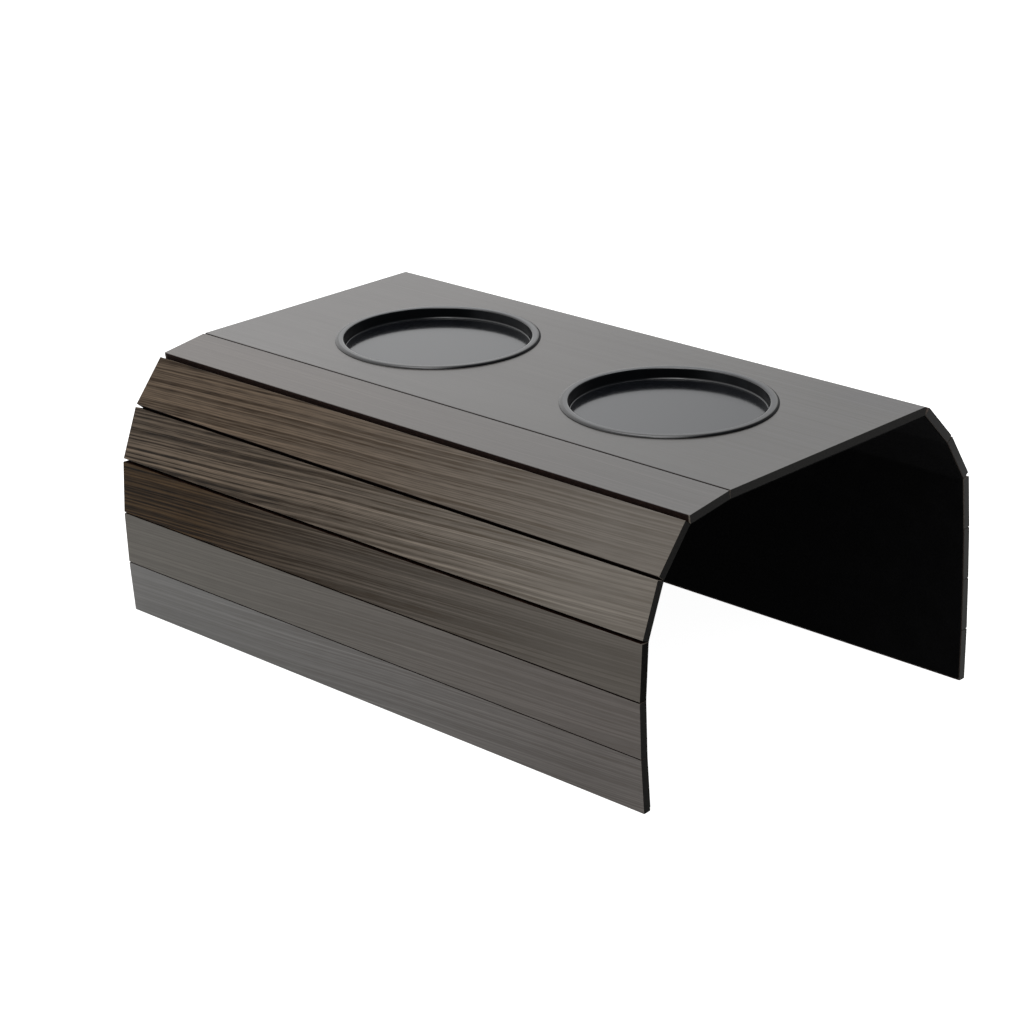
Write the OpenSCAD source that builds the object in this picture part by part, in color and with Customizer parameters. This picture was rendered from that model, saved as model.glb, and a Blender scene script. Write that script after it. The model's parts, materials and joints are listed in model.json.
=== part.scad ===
// Sofa arm tray: a flat centre panel and rows of narrow slats, glued side by side
// on one sheet of cloth, which bends between them like a hinge.
// It stands as an arch: the slats hang down on both sides of the arm.
// X runs across the arm, Y along the boards, Z up, with the feet on Z = 0.

/* [Boards] */
// Length of the panel and of every slat, along the arm
board_l = 300; // [240:1:400]
// Thickness of the boards
board_t = 3.6; // [3:0.1:8]
// Width of the centre panel
panel_w = 125.7; // [105:0.1:180]
// Width of one slat
slat_w = 23.3; // [15:0.1:40]
// Gap between neighbouring boards when the tray lies flat
hinge_gap = 0.3; // [0.3:0.1:2]
// Chamfer along the outer long edges of the boards
edge_chamfer = 0.15; // [0.05:0.05:1]

/* [Left side, bend of each cloth hinge from flat] */
// Panel to the first slat
left_bend_1 = 7.9; // [0:0.1:45]
// First to second slat
left_bend_2 = 42.2; // [0:0.1:45]
// Second to third slat
left_bend_3 = 18.5; // [0:0.1:30]
// Third to fourth slat
left_bend_4 = 18.2; // [0:0.1:20]
// Fourth to fifth slat
left_bend_5 = 5.2; // [0:0.1:15]
// Fifth to sixth slat
left_bend_6 = 2.5; // [0:0.1:15]

/* [Right side, bend of each cloth hinge from flat] */
// Panel to the first slat
right_bend_1 = 44.6; // [0:0.1:50]
// First to second slat
right_bend_2 = 11.7; // [0:0.1:40]
// Second to third slat
right_bend_3 = 28.7; // [0:0.1:35]
// Third to fourth slat
right_bend_4 = 2.4; // [0:0.1:15]
// Fourth to fifth slat
right_bend_5 = 1.1; // [0:0.1:15]
// Fifth to sixth slat
right_bend_6 = 2; // [0:0.1:15]

/* [Cup inserts] */
// Distance between the centres of the two cup recesses
cup_pitch = 133.2; // [100:0.2:180]
// Diameter of the recess that takes the cup
recess_d = 83; // [60:0.5:90]
// Depth of the recess below the top of the flange
recess_depth = 5.1; // [4:0.1:20]
// Width of the flange that rests on the panel
flange_w = 3.9; // [2:0.1:6]
// Thickness of the flange
flange_t = 0.9; // [0.7:0.1:2]
// Chamfer on the rims of the flange
flange_chamfer = 0.15; // [0.1:0.05:0.35]
// Wall of the insert
cup_wall = 1.2; // [0.8:0.1:2]
// Floor of the insert
cup_floor = 0.8; // [0.8:0.1:2]
// Radial clearance of the insert in the hole of the panel
cup_clearance = 0.2; // [0.1:0.05:0.5]

/* [Backing cloth] */
// Thickness of the cloth
cloth_t = 0.7; // [0.6:0.1:2]
// Glue line between the boards and the cloth
glue_t = 0.05; // [0.03:0.01:0.1]
// How far the cloth stops short of the outer edge of the last slats
cloth_trim = 1; // [0.5:0.1:3]
// How far the cloth stops short of the ends of the boards
cloth_end_trim = 0.5; // [0.2:0.1:3]
// How much wider the holes in the cloth are than those in the panel, on the radius
cloth_hole_margin = 0.8; // [0.3:0.1:2]

/* [Hidden] */
round_fn = 128;
cut_over = 1;
level_steps = 8;

left_bends = [left_bend_1, left_bend_2, left_bend_3, left_bend_4, left_bend_5, left_bend_6];
right_bends = [right_bend_1, right_bend_2, right_bend_3, right_bend_4, right_bend_5, right_bend_6];
slats = len(right_bends);

recess_r = recess_d / 2;
cup_body_r = recess_r + cup_wall;
flange_r = recess_r + flange_w;
panel_hole_r = cup_body_r + cup_clearance;
cloth_hole_r = panel_hole_r + cloth_hole_margin;
recess_floor = flange_t - recess_depth;
cup_bottom = recess_floor - cup_floor;
// Underside of the cloth below the panel
cloth_bottom = -board_t - glue_t - cloth_t;

// The profile is drawn in a plane [x, z] where the top of the panel is z = 0.
// One side is built to the right, and the left side is its mirror image.

// Angle of slat i below the plane of the panel
function slope(bends, i) = i < 0 ? 0 : bends[i] + slope(bends, i - 1);
// Direction away from the panel along a board, and the outward normal of that board
function along(a) = [cos(a), -sin(a)];
function outward(a) = [sin(a), cos(a)];
// Hinge line i: on the inner faces of its two boards, midway in their gap
function hinge(bends, i) =
  i == 0 ? [panel_w / 2 + hinge_gap / 2, -board_t]
  : hinge(bends, i - 1) + (slat_w + hinge_gap) * along(slope(bends, i - 1));
// Point of slat i at s from its hinge along the board and h above its inner face
function spot(bends, i, s, h) =
  hinge(bends, i) + s * along(slope(bends, i)) + h * outward(slope(bends, i));
// Cross-section of slat i
function slat_profile(bends, i) =
  let (near = hinge_gap / 2, far = near + slat_w, c = edge_chamfer, t = board_t)
  [
    spot(bends, i, near, 0),
    spot(bends, i, far, 0),
    spot(bends, i, far, t - c),
    spot(bends, i, far - c, t),
    spot(bends, i, near + c, t),
    spot(bends, i, near, t - c)
  ];
panel_profile = [
  [-panel_w / 2, -board_t],
  [panel_w / 2, -board_t],
  [panel_w / 2, -edge_chamfer],
  [panel_w / 2 - edge_chamfer, 0],
  [-panel_w / 2 + edge_chamfer, 0],
  [-panel_w / 2, -edge_chamfer]
];
function mirrored(points) = [for (p = points) [-p[0], p[1]]];

// The arch is turned about Y until both feet stand on one level
function turned(p, a) = [p[0] * cos(a) + p[1] * sin(a), -p[0] * sin(a) + p[1] * cos(a)];
function lowest(points, a) =
  let (z = [for (p = points) turned(p, a)[1]])
  points[search(min(z), z)[0]];
function level(a, steps) =
  steps == 0 ? a
  : let (
      l = lowest(mirrored(slat_profile(left_bends, slats - 1)), a),
      r = lowest(slat_profile(right_bends, slats - 1), a)
    )
    level(atan2(r[1] - l[1], r[0] - l[0]), steps - 1);
tilt = level(0, level_steps);
outline = concat(
  panel_profile,
  [for (i = [0:slats - 1], p = slat_profile(right_bends, i)) p],
  [for (i = [0:slats - 1], p = mirrored(slat_profile(left_bends, i))) p]
);
outline_x = [for (p = outline) turned(p, tilt)[0]];
outline_z = [for (p = outline) turned(p, tilt)[1]];
middle_x = (min(outline_x) + max(outline_x)) / 2;
floor_z = min(outline_z);

// Line of the boards' inner faces, from the left foot over the panel to the right foot
function inner_line(bends) = [
  for (i = [0:slats - 1]) hinge(bends, i),
  spot(bends, slats - 1, hinge_gap / 2 + slat_w - cloth_trim, 0)
];
right_line = inner_line(right_bends);
left_line = mirrored(inner_line(left_bends));
cloth_line = concat([for (i = [slats:-1:0]) left_line[i]], right_line);
last = len(cloth_line) - 1;
// Unit normal of segment k of the line, pointing into the arch
function into(k) =
  let (d = cloth_line[k + 1] - cloth_line[k], u = d / norm(d))
  [u[1], -u[0]];
// Mitred offset of corner k of the line, for an offset of 1
function mitre(k) =
  k == 0 ? into(0)
  : k == last ? into(last - 1)
  : let (a = into(k - 1), b = into(k)) (a + b) / (1 + a * b);
cloth_profile = concat(
  [for (k = [0:last]) cloth_line[k] + glue_t * mitre(k)],
  [for (k = [last:-1:0]) cloth_line[k] + (glue_t + cloth_t) * mitre(k)]
);

module stand() {
  translate([-middle_x, 0, -floor_z])
    rotate([0, tilt, 0])
      children();
}

module extruded(points, length) {
  rotate([90, 0, 0])
    linear_extrude(height = length, center = true)
      polygon(points);
}

module cup_holes(r) {
  for (side = [-1, 1])
    translate([0, side * cup_pitch / 2, cloth_bottom - cut_over])
      cylinder(r = r, h = 2 * cut_over - cloth_bottom, $fn = round_fn);
}

module center_panel() {
  color([0.50, 0.47, 0.44])
    stand()
      difference() {
        extruded(panel_profile, board_l);
        cup_holes(panel_hole_r);
      }
}

module left_slat(i, shade) {
  color(shade)
    stand()
      extruded(mirrored(slat_profile(left_bends, i)), board_l);
}

module right_slat(i, shade) {
  color(shade)
    stand()
      extruded(slat_profile(right_bends, i), board_l);
}

module cup_insert(side) {
  color([0.07, 0.07, 0.08])
    stand()
      translate([0, side * cup_pitch / 2, 0])
        rotate_extrude($fn = round_fn)
          polygon([
            [0, cup_bottom],
            [cup_body_r, cup_bottom],
            [cup_body_r, 0],
            [flange_r, 0],
            [flange_r, flange_t - flange_chamfer],
            [flange_r - flange_chamfer, flange_t],
            [recess_r + flange_chamfer, flange_t],
            [recess_r, flange_t - flange_chamfer],
            [recess_r, recess_floor],
            [0, recess_floor]
          ]);
}

module backing_cloth() {
  color([0.03, 0.03, 0.03])
    stand()
      difference() {
        extruded(cloth_profile, board_l - 2 * cloth_end_trim);
        cup_holes(cloth_hole_r);
      }
}

center_panel();
left_slat(0, [0.47, 0.44, 0.41]);  // left_slat_1
left_slat(1, [0.33, 0.27, 0.23]);  // left_slat_2
left_slat(2, [0.36, 0.32, 0.27]);  // left_slat_3
left_slat(3, [0.29, 0.26, 0.22]);  // left_slat_4
left_slat(4, [0.33, 0.31, 0.28]);  // left_slat_5
left_slat(5, [0.38, 0.36, 0.33]);  // left_slat_6
right_slat(0, [0.36, 0.32, 0.28]);  // right_slat_1
right_slat(1, [0.33, 0.29, 0.25]);  // right_slat_2
right_slat(2, [0.30, 0.27, 0.23]);  // right_slat_3
right_slat(3, [0.32, 0.29, 0.26]);  // right_slat_4
right_slat(4, [0.30, 0.27, 0.24]);  // right_slat_5
right_slat(5, [0.33, 0.30, 0.27]);  // right_slat_6
cup_insert(-1);  // front_cup_insert
cup_insert(1);  // rear_cup_insert
backing_cloth();
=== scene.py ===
import json
import math
from collections import namedtuple

import bmesh
import bpy
from mathutils import Matrix, Vector


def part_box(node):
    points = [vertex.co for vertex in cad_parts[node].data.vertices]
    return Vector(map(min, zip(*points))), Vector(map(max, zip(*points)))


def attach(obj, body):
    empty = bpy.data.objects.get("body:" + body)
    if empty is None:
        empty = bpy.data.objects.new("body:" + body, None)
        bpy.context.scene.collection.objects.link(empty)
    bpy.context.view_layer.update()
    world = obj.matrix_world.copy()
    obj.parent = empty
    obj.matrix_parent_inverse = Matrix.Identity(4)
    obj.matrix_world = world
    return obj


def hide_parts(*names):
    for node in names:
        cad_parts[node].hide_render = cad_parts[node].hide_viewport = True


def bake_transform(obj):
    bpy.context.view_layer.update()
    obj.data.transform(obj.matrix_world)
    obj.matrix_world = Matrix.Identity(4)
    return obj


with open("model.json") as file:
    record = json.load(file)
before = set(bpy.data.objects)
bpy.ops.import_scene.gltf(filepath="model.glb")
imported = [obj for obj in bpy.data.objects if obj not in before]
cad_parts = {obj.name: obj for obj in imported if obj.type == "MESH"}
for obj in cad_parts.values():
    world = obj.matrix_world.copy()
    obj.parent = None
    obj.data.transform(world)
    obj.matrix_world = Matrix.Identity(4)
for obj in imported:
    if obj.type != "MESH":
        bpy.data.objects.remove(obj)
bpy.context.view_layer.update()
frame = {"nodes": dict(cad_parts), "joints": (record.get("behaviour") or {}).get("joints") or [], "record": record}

MM = 0.001
SLATS = 6
BOARD_T = 3.6 * MM
GLUE_T = 0.05 * MM
CLOTH_T = 0.7 * MM
CLOTH_TRIM = 1.0 * MM
CLOTH_END_TRIM = 0.5 * MM
CLOTH_HOLE_R = 43.7 * MM
# Vertices this close to the end of the last slat are on its end
NEAR_END = 2 * MM

JOINTS = {j["name"]: j for j in frame["joints"]}
MOUNTS = {m["name"]: m for m in frame["record"]["mounts"]}
AXIS = Vector(MOUNTS["front_cup_recess"]["axis"])
BOARD_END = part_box("center_panel")[1].y


# ---------- geometry read from the frame ----------

def hinge(side, number):
    """Hinge line in the XZ plane, on the inner faces of its two boards."""
    x, _, z = JOINTS[f"{side}_hinge_{number}"]["pos_m"]
    return Vector((x, 0.0, z))


def foot_end(side):
    """End of the last slat, on its inner face."""
    vertices = frame["nodes"][f"{side}_slat_{SLATS}"].data.vertices
    start = hinge(side, SLATS)
    run = (start - hinge(side, SLATS - 1)).normalized()
    reach = max((v.co - start).dot(run) for v in vertices)
    at_end = [v.co for v in vertices if (v.co - start).dot(run) > reach - NEAR_END]
    inner = min(at_end, key=lambda p: abs(p.x))
    return Vector((inner.x, 0.0, inner.z))


def inner_line(side):
    """Points along the boards' inner faces, from the panel's edge to the end of the cloth."""
    points = [hinge(side, n) for n in range(1, SLATS + 1)]
    end = foot_end(side)
    last = (end - points[-1]).normalized()
    return points + [end - last * CLOTH_TRIM]


def outward_normal(side, number):
    """Normal of a slat's outer face at rest."""
    points = inner_line(side)
    run = (points[number] - points[number - 1]).normalized()
    turn = -1.0 if side == "left" else 1.0
    return Vector((-run.z * turn, 0.0, run.x * turn))


def lengths_along(points):
    """Length of a polyline from its start to each of its points."""
    lengths = [0.0]
    for a, b in zip(points, points[1:]):
        lengths.append(lengths[-1] + (b - a).length)
    return lengths


# ---------- node helpers ----------

class Nodes:
    """Small helper around one node tree."""

    def __init__(self, tree):
        self.tree = tree
        self.tree.nodes.clear()

    def add(self, kind, **values):
        node = self.tree.nodes.new(kind)
        for name, value in values.items():
            setattr(node, name, value)
        return node

    def link(self, out, into):
        self.tree.links.new(out, into)

    def feed(self, socket, value):
        if isinstance(value, bpy.types.NodeSocket):
            self.link(value, socket)
        else:
            socket.default_value = value

    def math(self, operation, a, b=0.0):
        node = self.add("ShaderNodeMath", operation=operation)
        self.feed(node.inputs[0], a)
        self.feed(node.inputs[1], b)
        return node.outputs[0]

    def weighted(self, a, share_a, b, share_b):
        """Sum of two values, each times its share."""
        return self.math("ADD", self.math("MULTIPLY", a, share_a), self.math("MULTIPLY", b, share_b))

    def mix(self, share, a, b, blend="MIX"):
        node = self.add("ShaderNodeMix", data_type="RGBA", blend_type=blend)
        self.feed(node.inputs[0], share)
        self.feed(node.inputs[6], a)
        self.feed(node.inputs[7], b)
        return node.outputs[2]

    def ramp(self, value, low, high, out_low=0.0, out_high=1.0, smooth=True):
        """Value from low to high turned into out_low to out_high, and held beyond both ends."""
        kind = "SMOOTHSTEP" if smooth else "LINEAR"
        node = self.add("ShaderNodeMapRange", interpolation_type=kind)
        self.feed(node.inputs[0], value)
        for socket, number in zip(node.inputs[1:5], (low, high, out_low, out_high)):
            socket.default_value = number
        return node.outputs[0]

    def vector_math(self, operation, a, b):
        node = self.add("ShaderNodeVectorMath", operation=operation)
        self.link(a, node.inputs[0])
        self.feed(node.inputs["Scale" if operation == "SCALE" else 1], b)
        return node.outputs["Value" if operation == "DOT_PRODUCT" else "Vector"]

    def parts(self, vector):
        """The X, Y and Z of a vector."""
        node = self.add("ShaderNodeSeparateXYZ")
        self.link(vector, node.inputs[0])
        return node.outputs

    def mapped(self, vector, location=(0, 0, 0), rotation=(0, 0, 0), scale=(1, 1, 1)):
        node = self.add("ShaderNodeMapping")
        self.link(vector, node.inputs[0])
        node.inputs[1].default_value = location
        node.inputs[2].default_value = rotation
        node.inputs[3].default_value = scale
        return node.outputs[0]

    def noise(self, vector, scale=1.0, detail=2.0, roughness=0.5):
        node = self.add("ShaderNodeTexNoise")
        self.link(vector, node.inputs["Vector"])
        node.inputs["Scale"].default_value = scale
        node.inputs["Detail"].default_value = detail
        node.inputs["Roughness"].default_value = roughness
        return node.outputs[0]

    def bump(self, height, strength, distance):
        node = self.add("ShaderNodeBump")
        node.inputs["Strength"].default_value = strength
        node.inputs["Distance"].default_value = distance
        self.link(height, node.inputs["Height"])
        return node.outputs[0]


def new_material(name):
    material = bpy.data.materials.new(name)
    material.use_nodes = True
    nodes = Nodes(material.node_tree)
    shader = nodes.add("ShaderNodeBsdfPrincipled")
    output = nodes.add("ShaderNodeOutputMaterial")
    nodes.link(shader.outputs[0], output.inputs[0])
    return material, nodes, shader


def set_coat(shader, roughness, ior):
    shader.inputs["Coat Roughness"].default_value = roughness
    shader.inputs["Coat IOR"].default_value = ior


def rgba(colour):
    return (*colour, 1.0)


def dress(obj, material):
    obj.data.materials.clear()
    obj.data.materials.append(material)


def add_object(name, data):
    obj = bpy.data.objects.new(name, data)
    bpy.context.scene.collection.objects.link(obj)
    return obj


# ---------- wood ----------

Look = namedtuple("Look", (
    "rear",           # colour at the rear end; on the panel and the first left slat its fall to the front colour is a painted sheen
    "front",          # colour at the front end
    "rear_streaks",   # strength of the streaks at the rear end
    "front_streaks",  # and at the front end
    "hold",           # how far the rear tone reaches toward the front
    "slant",          # how much the grain runs down the board per length
    "ior",
    "coat",           # weight of the satin coat
    "wear",           # how strong the pale mark on the long edges is at both ends, partly wear and partly a painted highlight
    "drift",          # painted sheen: how much paler the tone is toward the left edge
), defaults=(0.0,))

# The panel's fall in tone from the lighter rear to the darker front is a painted sheen
PANEL_LOOK = Look((0.084, 0.077, 0.073), (0.020, 0.017, 0.014), 0.12, 0.10, 0.8, 0.0, 1.28, 1.0, 0.5, 0.017)
LOOKS = {
    "left": [
        # This slat's fall in tone from rear to front is a painted sheen, as on the panel
        Look((0.126, 0.112, 0.104), (0.087, 0.082, 0.079), 0.10, 0.10, 1.0, 0.010, 1.28, 1.0, 0.9),
        Look((0.074, 0.0535, 0.0368), (0.148, 0.132, 0.115), 0.78, 0.17, 1.8, 0.045, 1.22, 0.0, 0.9),
        Look((0.0665, 0.0506, 0.0368), (0.178, 0.159, 0.137), 1.02, 0.18, 1.9, 0.060, 1.22, 0.0, 0.9),
        Look((0.0330, 0.0203, 0.0103), (0.129, 0.116, 0.102), 1.05, 0.12, 1.0, 0.060, 1.12, 0.0, 0.5),
        Look((0.142, 0.132, 0.116), (0.141, 0.126, 0.116), 0.14, 0.15, 1.0, 0.055, 1.22, 0.0, 0.3),
        Look((0.197, 0.193, 0.187), (0.144, 0.131, 0.122), 0.12, 0.20, 1.0, 0.055, 1.22, 0.0, 0.2),
    ],
    "right": [
        Look((0.078, 0.060, 0.046), (0.084, 0.072, 0.059), 0.45, 0.30, 1.0, -0.030, 1.42, 0.4, 0.2),
        Look((0.074, 0.056, 0.042), (0.092, 0.078, 0.063), 0.55, 0.30, 1.0, -0.045, 1.38, 0.0, 0.1),
        Look((0.052, 0.037, 0.026), (0.076, 0.064, 0.051), 0.60, 0.30, 1.0, -0.050, 1.38, 0.0, 0.4),
        Look((0.084, 0.070, 0.056), (0.088, 0.076, 0.063), 0.40, 0.25, 1.0, -0.040, 1.38, 0.0, 0.1),
        Look((0.064, 0.048, 0.035), (0.084, 0.070, 0.056), 0.55, 0.30, 1.0, -0.050, 1.38, 0.0, 0.1),
        Look((0.090, 0.077, 0.064), (0.088, 0.076, 0.063), 0.35, 0.25, 1.0, -0.045, 1.38, 0.0, 0.1),
    ],
}
PANEL_SEED = 1
# Each board reads the noise at its seed times this
SEED_STEP = (0.37, 1.13, 0.71)

# Layers of the grain: where the noise is read, its scale across and along the fibres, and its detail
Layer = namedtuple("Layer", "offset scale detail")
BANDS = Layer((0, 0, 0), (110, 1.6, 1), 1.0)
FIBRES = Layer((3.1, 0, 1.7), (1250, 2.2, 1), 1.0)
HAIRS = Layer((7.3, 0, 4.9), (1500, 75, 1), 2.0)
PATCHES = Layer((1.3, 0, 2.9), (50, 7, 1), 2.0)
PALE_LINES = Layer((5.7, 0, 0.6), (330, 1.2, 1), 1.0)
DARK_LINES = Layer((9.1, 0, 3.3), (360, 1.6, 1), 1.0)

# A noise between the two values of a SPAN gives a gain between the two of a GAIN
NOISE_MIDDLE = 0.5
FIBRE_SPAN, FIBRE_GAIN = (0.42, 0.64), (-0.68, 1.20)
PALE_SPAN, PALE_GAIN = (0.38, 0.58), (0.4, 1.6)
SWING_SPAN, BAND_GAIN, HAIR_GAIN = (0.35, 0.65), (-0.08, 0.08), (-0.36, 0.36)
PALE_WIDTH, DARK_WIDTH = 0.024, 0.028
DARK_DEPTH = 0.25
LEAST_GAIN = 0.15

# Sideways wander of the grain, in metres
WANDER_SCALE, WANDER = 7.0, 0.004
# The front tone rises between these two places along Y, and the streaks change with this power of it
REAR_Y, FRONT_Y = 0.10, -0.12
CALMING = 0.5
# The painted sheen's drift of the tone across the panel ends at this distance from its middle
DRIFT_REACH = 0.062

# Dark streaks are browner than the rest
STREAK_HUE, PLAIN_HUE = (1.16, 1.00, 0.80), (1.0, 1.0, 1.0)
STREAK_SPAN = (0.3, 1.0)

# Core of the boards on the long edges, at the ends, at the ends of the right side, and the pale mark near the ends
# that is partly wear and partly a painted highlight
SIDE_DEEP, SIDE_PALE = (0.0090, 0.0034, 0.0022), (0.0250, 0.0115, 0.0080)
END_DEEP, END_PALE = (0.0018, 0.0017, 0.0014), (0.0080, 0.0074, 0.0064)
RIGHT_END, RIGHT_END_X = (0.0230, 0.0225, 0.0215), (0.07, 0.10)
WORN_AND_LIT = (0.22, 0.195, 0.165)
WORN_AND_LIT_FROM, WORN_AND_LIT_TO = BOARD_END - 1.1 * MM, BOARD_END - 0.5 * MM
WORN_AND_LIT_SPAN, LEAST_WORN_AND_LIT = (0.35, 0.55), 0.5
CORE_SCALE, CORE_SPAN = (700, 500, 2600), (0.40, 0.72)
CORE_ROUGHNESS = 0.85
# How far a face may turn from the veneer's normal, and from Y, as cosines
VENEER_FACING = (0.45, 0.68)
SIDE_FACING = (0.8, 0.4)

POLISH_SPAN, VENEER_ROUGHNESS = (0.3, 0.7), (0.34, 0.44)
VENEER_RELIEF, VENEER_RELIEF_DEPTH = 0.22, 0.10 * MM
VENEER_COAT_ROUGHNESS, VENEER_COAT_IOR = 0.20, 1.5
SOFT_EDGE, SOFT_EDGE_STEPS = 0.08 * MM, 2
SOFT_EDGE_ANGLE = math.radians(30)


def layer(n, path, grain):
    return n.noise(n.mapped(path, location=grain.offset, scale=grain.scale), detail=grain.detail)


def ridge(n, value, width):
    """Thin lines where a noise crosses its middle value."""
    return n.ramp(n.math("ABSOLUTE", n.math("SUBTRACT", value, NOISE_MIDDLE)), width, 0.0)


def grain_path(n, place, across, slant, seed):
    """Coordinates of the grain: across the fibres, along them, and apart for each board."""
    wander = n.noise(place, scale=WANDER_SCALE, detail=1.0)
    y = n.parts(place)[1]
    turned = n.math("ADD", across, n.math("MULTIPLY", y, slant))
    turned = n.math("ADD", turned, n.math("MULTIPLY", wander, WANDER))
    path = n.add("ShaderNodeCombineXYZ")
    n.feed(path.inputs[0], turned)
    n.feed(path.inputs[1], y)
    return n.mapped(path.outputs[0], location=[seed * step for step in SEED_STEP])


def grain_pattern(n, path, fibres, hairs, patches):
    """Sum of the layers of the grain: above 0 pale, below 0 dark."""
    pale_lines = ridge(n, layer(n, path, PALE_LINES), PALE_WIDTH)
    dark_lines = ridge(n, layer(n, path, DARK_LINES), DARK_WIDTH)
    pattern = n.ramp(fibres, *FIBRE_SPAN, *FIBRE_GAIN, smooth=False)
    pattern = n.math("ADD", pattern, n.math("MULTIPLY", pale_lines, n.ramp(patches, *PALE_SPAN, *PALE_GAIN)))
    pattern = n.math("SUBTRACT", pattern, n.math("MULTIPLY", dark_lines, DARK_DEPTH))
    pattern = n.math("ADD", pattern, n.ramp(layer(n, path, BANDS), *SWING_SPAN, *BAND_GAIN, smooth=False))
    return n.math("ADD", pattern, n.ramp(hairs, *SWING_SPAN, *HAIR_GAIN, smooth=False))


def veneer_colour(n, place, across, pattern, look):
    """Tone along the board, times the pattern of the grain; on the panel and the first left slat the tone along
    the board is a painted sheen.
    """
    progress = n.ramp(n.parts(place)[1], REAR_Y, FRONT_Y, smooth=False)
    toward_front = n.math("POWER", progress, look.hold)
    calmed = n.math("POWER", toward_front, CALMING)
    calmed = n.math("MULTIPLY", calmed, look.front_streaks - look.rear_streaks)
    streaks = n.math("ADD", look.rear_streaks, calmed)
    gain = n.math("ADD", 1.0, n.math("MULTIPLY", pattern, streaks))
    gain = n.math("MAXIMUM", gain, LEAST_GAIN)
    body = n.mix(toward_front, rgba(look.rear), rgba(look.front))
    hue = n.mix(n.ramp(gain, *STREAK_SPAN), rgba(STREAK_HUE), rgba(PLAIN_HUE))
    body = n.mix(1.0, body, hue, "MULTIPLY")
    # Painted sheen: the tone is paler toward the left edge
    if look.drift:
        lift = n.ramp(across, -DRIFT_REACH, DRIFT_REACH, look.drift, -look.drift, smooth=False)
        body = n.vector_math("ADD", body, lift)
    return n.vector_math("SCALE", body, gain)


def core_colour(n, place, normal, wear):
    """Dark core that shows on the long edges and at the ends."""
    core = n.noise(n.mapped(place, scale=CORE_SCALE), detail=3.0)
    mottle = n.ramp(core, *CORE_SPAN)
    x, y, _ = n.parts(place)
    side = n.mix(mottle, rgba(SIDE_DEEP), rgba(SIDE_PALE))
    end = n.mix(mottle, rgba(END_DEEP), rgba(END_PALE))
    end = n.mix(n.ramp(x, *RIGHT_END_X), end, rgba(RIGHT_END))
    # Pale mark on the long edges near the ends: partly wear, partly a painted highlight of light reaching into the
    # grooves
    at_end = n.ramp(n.math("ABSOLUTE", y), WORN_AND_LIT_FROM, WORN_AND_LIT_TO)
    worn_and_lit = n.math("MULTIPLY", at_end, n.ramp(core, *WORN_AND_LIT_SPAN, LEAST_WORN_AND_LIT * wear, wear))
    on_side = n.ramp(n.math("ABSOLUTE", n.parts(normal)[1]), *SIDE_FACING)
    return n.mix(on_side, end, n.mix(worn_and_lit, side, rgba(WORN_AND_LIT)))


def wood_material(name, seed, outward, look):
    """Dark straight-grained veneer on one face; its fibres run along Y, slanted a little."""
    material, n, shader = new_material(name)
    where = n.add("ShaderNodeTexCoord")
    place, normal = where.outputs["Object"], where.outputs["Normal"]
    down = Vector((outward.z, 0.0, -outward.x))
    across = n.vector_math("DOT_PRODUCT", place, down)
    path = grain_path(n, place, across, look.slant, seed)
    fibres, hairs, patches = (layer(n, path, grain) for grain in (FIBRES, HAIRS, PATCHES))

    colour = veneer_colour(n, place, across, grain_pattern(n, path, fibres, hairs, patches), look)
    veneer = n.ramp(n.vector_math("DOT_PRODUCT", normal, outward), *VENEER_FACING)
    n.link(n.mix(veneer, core_colour(n, place, normal, look.wear), colour), shader.inputs["Base Color"])

    polish = n.ramp(n.weighted(fibres, 0.6, patches, 0.4), *POLISH_SPAN, *VENEER_ROUGHNESS)
    smoother = n.math("MULTIPLY", veneer, n.math("SUBTRACT", polish, CORE_ROUGHNESS))
    n.link(n.math("ADD", smoother, CORE_ROUGHNESS), shader.inputs["Roughness"])
    relief = n.weighted(hairs, 0.5, fibres, 0.5)
    n.link(n.bump(relief, VENEER_RELIEF, VENEER_RELIEF_DEPTH), shader.inputs["Normal"])
    shader.inputs["IOR"].default_value = look.ior
    if look.coat:
        n.link(n.math("MULTIPLY", veneer, look.coat), shader.inputs["Coat Weight"])
        set_coat(shader, VENEER_COAT_ROUGHNESS, VENEER_COAT_IOR)
    return material


def dress_board(node, material):
    dress(node, material)
    bevel = node.modifiers.new("soft_edges", "BEVEL")
    bevel.width = SOFT_EDGE
    bevel.segments = SOFT_EDGE_STEPS
    bevel.limit_method = "ANGLE"
    bevel.angle_limit = SOFT_EDGE_ANGLE


def dress_boards():
    seed = PANEL_SEED
    dress_board(frame["nodes"]["center_panel"], wood_material("veneer_panel", seed, AXIS, PANEL_LOOK))
    for side, looks in LOOKS.items():
        for number, look in enumerate(looks, 1):
            seed += 1
            veneer = wood_material(f"veneer_{side}_{number}", seed, outward_normal(side, number), look)
            dress_board(frame["nodes"][f"{side}_slat_{number}"], veneer)


# ---------- cup inserts ----------

# The last field says whether a kind gets the painted highlight on walls that face -X
Plastic = namedtuple("Plastic", "deep pale roughness ior scuffed")
FLOOR_PLASTIC = Plastic((0.0026, 0.0031, 0.0044), (0.0056, 0.0062, 0.0080), (0.125, 0.150), 1.75, False)
WALL_PLASTIC = Plastic((0.0006, 0.0008, 0.0011), (0.0016, 0.0020, 0.0025), (0.38, 0.50), 1.14, True)
# Painted highlight: a paler colour on walls facing -X that stands in for light from that side
WALL_HIGHLIGHT, WALL_HIGHLIGHT_FACING = (0.0075, 0.0085, 0.0100), (-0.90, -0.99)
WALL_HIGHLIGHT_SPAN, WALL_HIGHLIGHT_SHARE = (0.35, 0.60), (0.5, 1.0)
PLASTIC_SPAN = (0.3, 0.7)
SPECULAR_TINT = (0.90, 0.94, 1.0)
BROAD_SCALE, FINE_SCALE = 180, 1800
PLASTIC_RELIEF, PLASTIC_RELIEF_DEPTH = 0.10, 0.03 * MM

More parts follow.
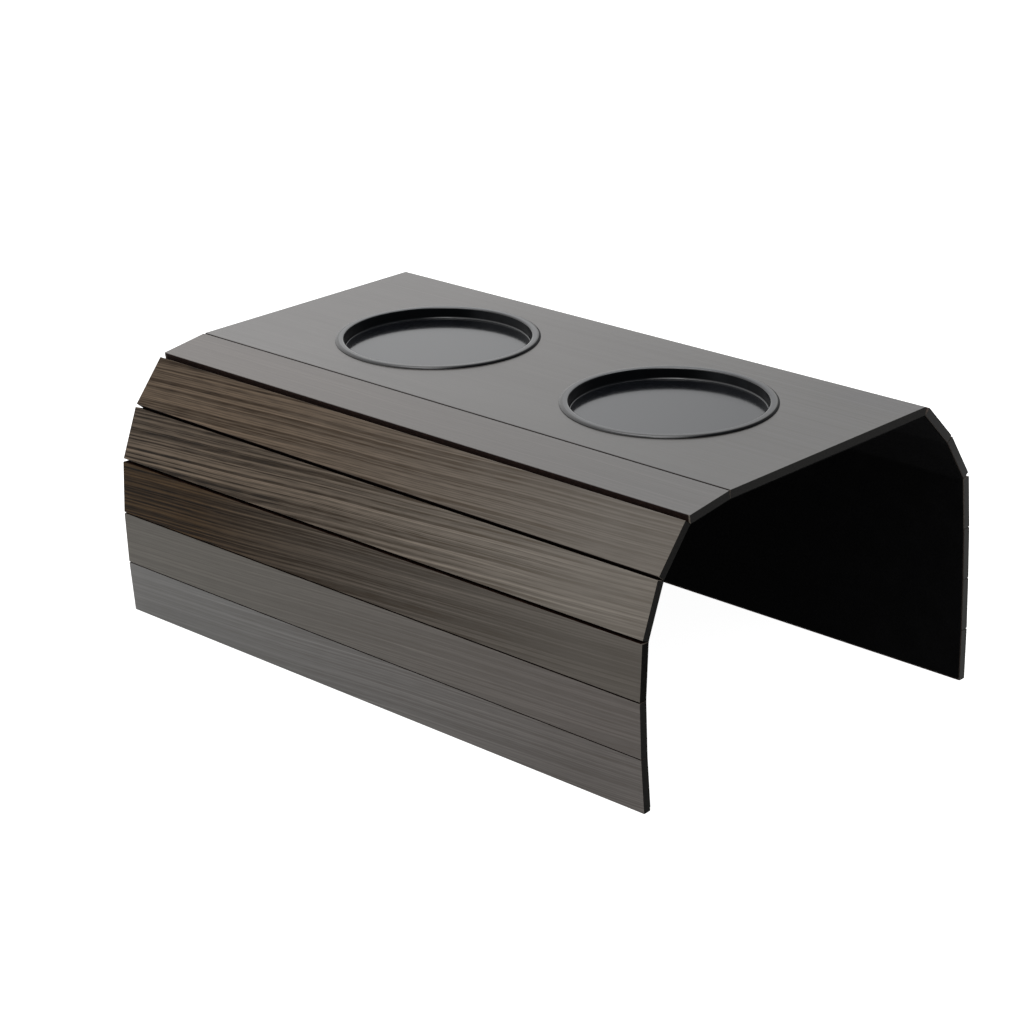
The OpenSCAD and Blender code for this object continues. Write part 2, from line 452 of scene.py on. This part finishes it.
# Painted sheen: the floor's coat weight falls from the rear left to the near right, along this level direction,
# standing in for a brighter reflection at the rear
SHEEN_FALL_X, SHEEN_FALL_Y = 0.675, -0.738
SHEEN_FALL_FROM, SHEEN_FALL_TO, SHEEN_FALL_BEND = -0.075, 0.080, 1.4
FLOOR_COAT, FLOOR_COAT_LOSS, FLOOR_COAT_ROUGHNESS, FLOOR_COAT_IOR = 0.66, 0.54, 0.08, 1.5

# Painted highlight: the gloss of walls and lips depends on their heading, so that the sides facing -X shine as if
# lit from there; 0 faces -X, below 0 turns toward -Y
ROUNDED_HEADING, UPRIGHT_HEADING, REAR_HEADING = (-0.96, -0.45), (-0.60, -0.14), (2.6, 1.75)
UPRIGHT_GLOSS = (0.0, 0.30)
UPRIGHT_FACING, TOP_FACING = (0.50, 0.10), (0.94, 1.0)
LIP_COAT_ROUGHNESS, LIP_COAT_IOR = 0.15, 1.7

# Section of the insert, in millimetres above the panel's top face
RECESS_R, CUP_WALL, FLANGE_W = 41.5, 1.2, 3.9
FLANGE_TOP, RECESS_FLOOR, CUP_BOTTOM = 0.9, -4.2, -5.0
FLANGE_R = RECESS_R + FLANGE_W
FLOOR_FILLET, FLOOR_FILLET_STEPS = 0.9, 8
INNER_LIP = (1.2, 0.6)
OUTER_LIP = (1.6, 0.8)
BOTTOM_FILLET = 0.4
ROUND_STEPS = 6
# Short flat run beside each rounding, which keeps the shading of the flat faces flat
REST = 0.12
CUP_SEGMENTS = 160
CUP_SHARP_ANGLE = math.radians(35)
# Faces whose normal is further from the cup axis than this cosine are walls
STEEP = 0.85


def floor_coat(n, shader, where):
    x, y, _ = n.parts(where.outputs["Object"])
    along = n.weighted(x, SHEEN_FALL_X, y, SHEEN_FALL_Y)
    # Painted sheen: less coat toward the near right
    painted_sheen_falloff = n.math("POWER", n.ramp(along, SHEEN_FALL_FROM, SHEEN_FALL_TO, smooth=False), SHEEN_FALL_BEND)
    weight = n.math("SUBTRACT", FLOOR_COAT, n.math("MULTIPLY", painted_sheen_falloff, FLOOR_COAT_LOSS))
    n.link(weight, shader.inputs["Coat Weight"])
    set_coat(shader, FLOOR_COAT_ROUGHNESS, FLOOR_COAT_IOR)


def lip_coat(n, shader, where):
    normal = where.outputs["Normal"]
    x, y, _ = n.parts(normal)
    # Painted highlight: coat only on rounded and upright faces that turn toward -X, as if lit from that side
    heading = n.math("ARCTAN2", y, n.math("MULTIPLY", x, -1.0))
    upward = n.vector_math("DOT_PRODUCT", normal, AXIS)
    upright = n.ramp(upward, *UPRIGHT_FACING)
    rounded = n.math("SUBTRACT", 1.0, upright)
    on_rounded = n.math("MULTIPLY", rounded, n.ramp(heading, *ROUNDED_HEADING))
    on_upright = n.math("MULTIPLY", upright, n.ramp(heading, *UPRIGHT_HEADING, *UPRIGHT_GLOSS))
    glossy = n.math("ADD", on_rounded, on_upright)
    glossy = n.math("MULTIPLY", glossy, n.ramp(heading, *REAR_HEADING))
    glossy = n.math("MAXIMUM", glossy, n.ramp(upward, *TOP_FACING))
    n.link(glossy, shader.inputs["Coat Weight"])
    set_coat(shader, LIP_COAT_ROUGHNESS, LIP_COAT_IOR)


def add_painted_highlight(n, where, broad, colour):
    """Painted highlight: paler plastic where the wall faces -X, standing in for light falling from that side."""
    facing = n.ramp(n.parts(where.outputs["Normal"])[0], *WALL_HIGHLIGHT_FACING)
    share = n.math("MULTIPLY", facing, n.ramp(broad, *WALL_HIGHLIGHT_SPAN, *WALL_HIGHLIGHT_SHARE))
    return n.mix(share, colour, rgba(WALL_HIGHLIGHT))


def plastic_material(name, kind, add_coat):
    """Black moulded plastic: polished on the floor, finely eroded on walls and lips; the wall kind carries a
    painted highlight where it faces -X.
    """
    material, n, shader = new_material(name)
    where = n.add("ShaderNodeTexCoord")
    broad = n.noise(where.outputs["Object"], scale=BROAD_SCALE, detail=3.0)
    fine = n.noise(where.outputs["Object"], scale=FINE_SCALE, detail=2.0)
    colour = n.mix(broad, rgba(kind.deep), rgba(kind.pale))
    # Painted highlight on the walls that face -X
    if kind.scuffed:
        colour = add_painted_highlight(n, where, broad, colour)
    n.link(colour, shader.inputs["Base Color"])
    grain = n.weighted(broad, 0.7, fine, 0.3)
    n.link(n.ramp(grain, *PLASTIC_SPAN, *kind.roughness), shader.inputs["Roughness"])
    n.link(n.bump(fine, PLASTIC_RELIEF, PLASTIC_RELIEF_DEPTH), shader.inputs["Normal"])
    shader.inputs["IOR"].default_value = kind.ior
    shader.inputs["Specular Tint"].default_value = rgba(SPECULAR_TINT)
    add_coat(n, shader, where)
    return material


def arc(centre, size, start, end, steps=ROUND_STEPS):
    """Points on part of an ellipse in the profile plane; angles in degrees."""
    turns = [math.radians(start + (end - start) * k / steps) for k in range(steps + 1)]
    return [(centre[0] + size[0] * math.cos(t), centre[1] + size[1] * math.sin(t)) for t in turns]


def cup_profile():
    """Radius and height round the insert's section, from the middle of its floor to that of its underside."""
    body = RECESS_R + CUP_WALL
    fillet_top = RECESS_FLOOR + FLOOR_FILLET
    points = [(0.0, RECESS_FLOOR), (RECESS_R - FLOOR_FILLET - REST, RECESS_FLOOR)]
    fillet = (FLOOR_FILLET, FLOOR_FILLET)
    points += arc((RECESS_R - FLOOR_FILLET, fillet_top), fillet, -90, 0, FLOOR_FILLET_STEPS)
    points += [(RECESS_R, fillet_top + REST), (RECESS_R, FLANGE_TOP - INNER_LIP[1] - REST)]
    inner_end = RECESS_R + INNER_LIP[0]
    points += arc((inner_end, FLANGE_TOP - INNER_LIP[1]), INNER_LIP, 180, 90)
    outer_start = FLANGE_R - OUTER_LIP[0]
    points += [(inner_end + REST, FLANGE_TOP), (outer_start - REST, FLANGE_TOP)]
    points += arc((outer_start, FLANGE_TOP - OUTER_LIP[1]), OUTER_LIP, 90, 0)
    points += [(FLANGE_R, 0.0), (body, 0.0)]
    turn = (body - BOTTOM_FILLET, CUP_BOTTOM + BOTTOM_FILLET)
    points += arc(turn, (BOTTOM_FILLET, BOTTOM_FILLET), 0, -90)
    points += [(body - BOTTOM_FILLET - REST, CUP_BOTTOM), (0.0, CUP_BOTTOM)]
    return [(r * MM, z * MM) for r, z in points]


def smooth_mesh(mesh, sharp_angle):
    for polygon in mesh.polygons:
        polygon.use_smooth = True
    mesh.set_sharp_from_angle(angle=sharp_angle)


def lathe(name, profile, matrix):
    """Solid of revolution of a profile that starts and ends on the axis."""
    mesh = bpy.data.meshes.new(name)
    bm = bmesh.new()
    angles = [2 * math.pi * k / CUP_SEGMENTS for k in range(CUP_SEGMENTS)]
    rings = []
    for r, z in profile:
        if r == 0.0:
            rings.append([bm.verts.new((0.0, 0.0, z))])
        else:
            rings.append([bm.verts.new((r * math.cos(a), r * math.sin(a), z)) for a in angles])
    for lower, upper in zip(rings, rings[1:]):
        for k in range(CUP_SEGMENTS):
            a, b = k % len(lower), (k + 1) % len(lower)
            c, d = (k + 1) % len(upper), k % len(upper)
            corners = [lower[a]]
            if a != b:
                corners.append(lower[b])
            corners.append(upper[c])
            if c != d:
                corners.append(upper[d])
            bm.faces.new(corners)
    bmesh.ops.recalc_face_normals(bm, faces=bm.faces)
    bm.to_mesh(mesh)
    bm.free()
    mesh.transform(matrix)
    smooth_mesh(mesh, CUP_SHARP_ANGLE)
    return add_object(name, mesh)


def panel_matrix(y=0.0):
    """Panel frame: Z along the cup axis, origin on the panel's top face above the middle of the tray."""
    seat = MOUNTS["arm_seat"]
    top = Vector(seat["pos_m"]) + AXIS * (BOARD_T + GLUE_T + CLOTH_T)
    along = Vector((0, 1, 0))
    across = along.cross(AXIS).normalized()
    basis = Matrix((across, along, AXIS)).transposed().to_4x4()
    return Matrix.Translation(top + along * y) @ basis


def make_cups():
    smooth = plastic_material("black_plastic", FLOOR_PLASTIC, floor_coat)
    matte = plastic_material("black_plastic_wall", WALL_PLASTIC, lip_coat)
    for end in ("front", "rear"):
        place = panel_matrix(MOUNTS[f"{end}_cup_recess"]["pos_m"][1])
        cup = lathe(f"{end}_cup", cup_profile(), place)
        dress(cup, smooth)
        cup.data.materials.append(matte)
        for polygon in cup.data.polygons:
            radius = (place.inverted() @ polygon.center).xy.length
            steep = abs(polygon.normal.dot(AXIS)) < STEEP
            # The outer lip takes the wall material too, with its painted highlight on the side facing -X
            if steep or radius > (FLANGE_R - OUTER_LIP[0]) * MM:
                polygon.material_index = 1
        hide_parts(f"{end}_cup_insert")
        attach(cup, "tray")


# ---------- cloth ----------

FELT_DEEP, FELT_PALE = (0.0007, 0.0007, 0.0008), (0.0036, 0.0036, 0.0039)
FUZZ_SCALE, MOTTLE_SCALE = 1500, 90
STRAND_TURN, STRAND_SCALE = (0.3, 0.2, 0.9), (400, 2400, 1400)
FELT_SPAN, FELT_ROUGHNESS, FELT_SPECULAR = (0.35, 0.7), 0.95, 0.04
FELT_RELIEF, FELT_RELIEF_DEPTH = 0.6, 0.35 * MM

# The bands start this far inside the panel's edge
CLOTH_LEAD = 12.0 * MM
# Rounding of the cloth at a hinge, and where it gets extra points, in roundings from the hinge
FOLD_ROUND = 1.8 * MM
FOLD_STOPS = (-1.5, -1, -0.75, -0.5, -0.25, 0, 0.25, 0.5, 0.75, 1, 1.5)
# A point of the cloth is the mean of these places, and its direction runs between the two of SLOPE_OVER
MEAN_OVER = (-0.5, 0.0, 0.5)
SLOPE_OVER = (-0.6, 0.6)
BAND_STEPS = 6
BAND_ROWS = 40
LEAST_STEP = 0.02 * MM
CLOTH_SHARP_ANGLE = math.radians(50)
HOLE_SIDES = 128
WELD_DISTANCE = 0.01 * MM


def cloth_material():
    material, n, shader = new_material("black_felt")
    place = n.add("ShaderNodeTexCoord").outputs["Object"]
    fuzz = n.noise(place, scale=FUZZ_SCALE, detail=4.0, roughness=0.7)
    mottle = n.noise(place, scale=MOTTLE_SCALE, detail=3.0)
    strands = n.noise(n.mapped(place, rotation=STRAND_TURN, scale=STRAND_SCALE), detail=2.0)
    shade = n.ramp(n.weighted(fuzz, 0.6, mottle, 0.4), *FELT_SPAN)
    n.link(n.mix(shade, rgba(FELT_DEEP), rgba(FELT_PALE)), shader.inputs["Base Color"])
    shader.inputs["Roughness"].default_value = FELT_ROUGHNESS
    shader.inputs["Specular IOR Level"].default_value = FELT_SPECULAR
    relief = n.weighted(fuzz, 0.6, strands, 0.4)
    n.link(n.bump(relief, FELT_RELIEF, FELT_RELIEF_DEPTH), shader.inputs["Normal"])
    return material


def path_points(points, start, end):
    """Points and directions along a polyline between two lengths, with the corners rounded off."""
    lengths = lengths_along(points)

    def at(s):
        k = next((k for k in range(len(points) - 2) if s <= lengths[k + 1]), len(points) - 2)
        return points[k] + (points[k + 1] - points[k]).normalized() * (s - lengths[k])

    stops = {start + (end - start) * k / BAND_STEPS for k in range(BAND_STEPS + 1)}
    folds = {corner + d * FOLD_ROUND for corner in lengths[1:-1] for d in FOLD_STOPS}
    stops = sorted(stops | {s for s in folds if start < s < end})
    stops = [s for k, s in enumerate(stops) if k == 0 or s - stops[k - 1] > LEAST_STEP]
    out = []
    for s in stops:
        here = sum((at(s + FOLD_ROUND * w) for w in MEAN_OVER), Vector()) / len(MEAN_OVER)
        before, after = (at(s + FOLD_ROUND * w) for w in SLOPE_OVER)
        out.append((here, (after - before).normalized()))
    return out


def strip(name, side, path, half_length):
    """Closed band of cloth along a path in the XZ plane."""
    turn = -1.0 if side == "left" else 1.0
    mesh = bpy.data.meshes.new(name)
    bm = bmesh.new()
    sheets = []
    for depth in (GLUE_T, GLUE_T + CLOTH_T):
        grid = []
        for here, run in path:
            inward = Vector((run.z * turn, 0.0, -run.x * turn))
            p = here + inward * depth
            row = [half_length * (2 * k / BAND_ROWS - 1) for k in range(BAND_ROWS + 1)]
            grid.append([bm.verts.new((p.x, y, p.z)) for y in row])
        sheets.append(grid)
    top, under = sheets
    for grid in sheets:
        for a, b in zip(grid, grid[1:]):
            for k in range(BAND_ROWS):
                bm.faces.new((a[k], a[k + 1], b[k + 1], b[k]))
    for i in range(len(path) - 1):
        for k in (0, BAND_ROWS):
            bm.faces.new((top[i][k], top[i + 1][k], under[i + 1][k], under[i][k]))
    for i in (0, len(path) - 1):
        for k in range(BAND_ROWS):
            bm.faces.new((top[i][k], top[i][k + 1], under[i][k + 1], under[i][k]))
    bmesh.ops.recalc_face_normals(bm, faces=bm.faces)
    bm.to_mesh(mesh)
    bm.free()
    smooth_mesh(mesh, CLOTH_SHARP_ANGLE)
    return add_object(name, mesh)


def panel_cloth(half_width, half_length):
    """Flat middle of the cloth, with the holes for the inserts."""
    curve = bpy.data.curves.new("cloth_outline", "CURVE")
    curve.dimensions = "2D"
    curve.fill_mode = "BOTH"
    curve.extrude = CLOTH_T / 2
    near, far = -half_length, half_length
    loops = [[(-half_width, near), (half_width, near), (half_width, far), (-half_width, far)]]
    turns = [2 * math.pi * k / HOLE_SIDES for k in range(HOLE_SIDES)]
    for end in ("front", "rear"):
        y = MOUNTS[f"{end}_cup_recess"]["pos_m"][1]
        loops.append([(CLOTH_HOLE_R * math.cos(t), y + CLOTH_HOLE_R * math.sin(t)) for t in turns])
    for loop in loops:
        spline = curve.splines.new("POLY")
        spline.points.add(len(loop) - 1)
        for point, (x, y) in zip(spline.points, loop):
            point.co = (x, y, 0.0, 1.0)
        spline.use_cyclic_u = True
    outline = add_object("cloth_outline", curve)
    bpy.context.view_layer.update()
    evaluated = outline.evaluated_get(bpy.context.evaluated_depsgraph_get())
    mesh = bpy.data.meshes.new_from_object(evaluated)
    bpy.data.objects.remove(outline)
    bpy.data.curves.remove(curve)
    mesh.name = "cloth_panel"
    bm = bmesh.new()
    bm.from_mesh(mesh)
    bmesh.ops.remove_doubles(bm, verts=bm.verts, dist=WELD_DISTANCE)
    bmesh.ops.recalc_face_normals(bm, faces=bm.faces)
    bm.to_mesh(mesh)
    bm.free()
    mesh.transform(panel_matrix() @ Matrix.Translation((0, 0, -BOARD_T - GLUE_T - CLOTH_T / 2)))
    return add_object("cloth_panel", mesh)


def finish_cloth(obj, material):
    dress(obj, material)
    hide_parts("backing_cloth")


def make_middle(half_length, material):
    width = (hinge("right", 1) - hinge("left", 1)).length - 2 * CLOTH_LEAD
    middle = panel_cloth(width / 2, half_length)
    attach(middle, "tray")
    finish_cloth(middle, material)


def make_bands(side, half_length, material):
    """Bands of one side, cut at mid-board, so that each of them bends over one hinge."""
    line = inner_line(side)
    other = hinge("right" if side == "left" else "left", 1)
    inside = line[0] + (other - line[0]).normalized() * 2 * CLOTH_LEAD
    points = [inside] + line
    lengths = lengths_along(points)
    cuts = [lengths[1] - CLOTH_LEAD]
    cuts += [(lengths[k] + lengths[k + 1]) / 2 for k in range(1, SLATS)]
    cuts += [lengths[-1]]
    for number in range(1, SLATS + 1):
        start, end = cuts[number - 1], cuts[number]
        band = strip(f"cloth_{side}_{number}", side, path_points(points, start, end), half_length)
        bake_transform(band)
        finish_cloth(band, material)


def make_cloth(material):
    """One sheet in the real tray. Here it is a flat middle and one band for each hinge."""
    half_length = BOARD_END - CLOTH_END_TRIM
    make_middle(half_length, material)
    for side in ("left", "right"):
        make_bands(side, half_length, material)


# ---------- camera, floor and light ----------

CAM_AZIMUTH = math.radians(-47.576)
CAM_ELEVATION = math.radians(18.002)
CAM_ROLL = math.radians(2.297)
CAM_DISTANCE = 1.2005
CAM_SHIFT_RIGHT = 0.01594
CAM_SHIFT_UP = 0.06127
CAM_CLIP = (0.05, 50.0)
FOCAL_PX = 2819.0
IMAGE_PX = 1024.0
SENSOR_MM = 36.0

WHITE = (1.0, 1.0, 1.0)
FLOOR_HALF = 6.0
FLOOR_GREY = (0.55, 0.55, 0.55)
FLOOR_GLOW = 0.95
SKY_LIGHT, SKY_SEEN, SKY_GLOSSY_LOSS = 0.50, 1.0, 0.20
LAMP_TARGET = Vector((0, 0, 0.06))


def make_camera():
    """Camera of the photo, aimed past the middle of the panel's top face."""
    target = panel_matrix().translation
    back = Vector((
        math.sin(CAM_AZIMUTH) * math.cos(CAM_ELEVATION),
        -math.cos(CAM_AZIMUTH) * math.cos(CAM_ELEVATION),
        math.sin(CAM_ELEVATION),
    ))
    level_right = (-back).cross(Vector((0, 0, 1))).normalized()
    level_up = level_right.cross(-back)
    c, s = math.cos(CAM_ROLL), math.sin(CAM_ROLL)
    right = c * level_right + s * level_up
    up = c * level_up - s * level_right
    place = target + back * CAM_DISTANCE - right * CAM_SHIFT_RIGHT - up * CAM_SHIFT_UP
    data = bpy.data.cameras.new("camera")
    data.sensor_width = SENSOR_MM
    data.lens = FOCAL_PX / IMAGE_PX * SENSOR_MM
    data.clip_start, data.clip_end = CAM_CLIP
    camera = add_object("camera", data)
    camera.matrix_world = Matrix.Translation(place) @ Matrix((right, up, back)).transposed().to_4x4()
    bpy.context.scene.camera = camera


def seen_directly(n):
    """1 for rays from the camera, and for those that gloss and glass send on."""
    path = n.add("ShaderNodeLightPath")
    either = n.math("MAXIMUM", path.outputs["Is Camera Ray"], path.outputs["Is Glossy Ray"])
    return n.math("MAXIMUM", either, path.outputs["Is Transmission Ray"])


def floor_material():
    """White under the tray with its soft shadow, and open when seen from below."""
    material = bpy.data.materials.new("white_floor")
    material.use_nodes = True
    n = Nodes(material.node_tree)
    diffuse = n.add("ShaderNodeBsdfDiffuse")
    diffuse.inputs[0].default_value = rgba(FLOOR_GREY)
    glow = n.add("ShaderNodeEmission")
    n.feed(glow.inputs[1], n.math("MULTIPLY", seen_directly(n), FLOOR_GLOW))
    both = n.add("ShaderNodeAddShader")
    n.link(diffuse.outputs[0], both.inputs[0])
    n.link(glow.outputs[0], both.inputs[1])
    below = n.add("ShaderNodeNewGeometry")
    open_below = n.add("ShaderNodeMixShader")
    n.link(below.outputs["Backfacing"], open_below.inputs[0])
    n.link(both.outputs[0], open_below.inputs[1])
    n.link(n.add("ShaderNodeBsdfTransparent").outputs[0], open_below.inputs[2])
    output = n.add("ShaderNodeOutputMaterial")
    n.link(open_below.outputs[0], output.inputs[0])
    return material


def make_floor():
    mesh = bpy.data.meshes.new("floor")
    h = FLOOR_HALF
    mesh.from_pydata([(-h, -h, 0), (h, -h, 0), (h, h, 0), (-h, h, 0)], [], [(0, 1, 2, 3)])
    floor = add_object("floor", mesh)
    dress(floor, floor_material())


def make_world():
    world = bpy.data.worlds.new("studio")
    bpy.context.scene.world = world
    world.use_nodes = True
    n = Nodes(world.node_tree)
    sky = n.add("ShaderNodeBackground")
    sky.inputs[0].default_value = rgba(WHITE)
    glossy = n.add("ShaderNodeLightPath").outputs["Is Glossy Ray"]
    strength = n.ramp(seen_directly(n), 0.0, 1.0, SKY_LIGHT, SKY_SEEN, smooth=False)
    n.feed(sky.inputs[1], n.math("SUBTRACT", strength, n.math("MULTIPLY", glossy, SKY_GLOSSY_LOSS)))
    output = n.add("ShaderNodeOutputWorld")
    n.link(sky.outputs[0], output.inputs[0])


def make_lamp(name, place, size, power):
    data = bpy.data.lights.new(name, "AREA")
    data.shape = "SQUARE"
    data.size = size
    data.energy = power
    lamp = add_object(name, data)
    lamp.location = place
    lamp.rotation_euler = (LAMP_TARGET - Vector(place)).to_track_quat("-Z", "Y").to_euler()


make_camera()
make_floor()
make_world()
make_lamp("key_lamp", place=(-0.9, -0.9, 1.7), size=1.2, power=14.0)
make_lamp("top_lamp", place=(0.3, 0.3, 2.0), size=1.4, power=12.0)
dress_boards()
make_cups()
make_cloth(cloth_material())

bpy.context.scene.view_settings.view_transform = "Standard"
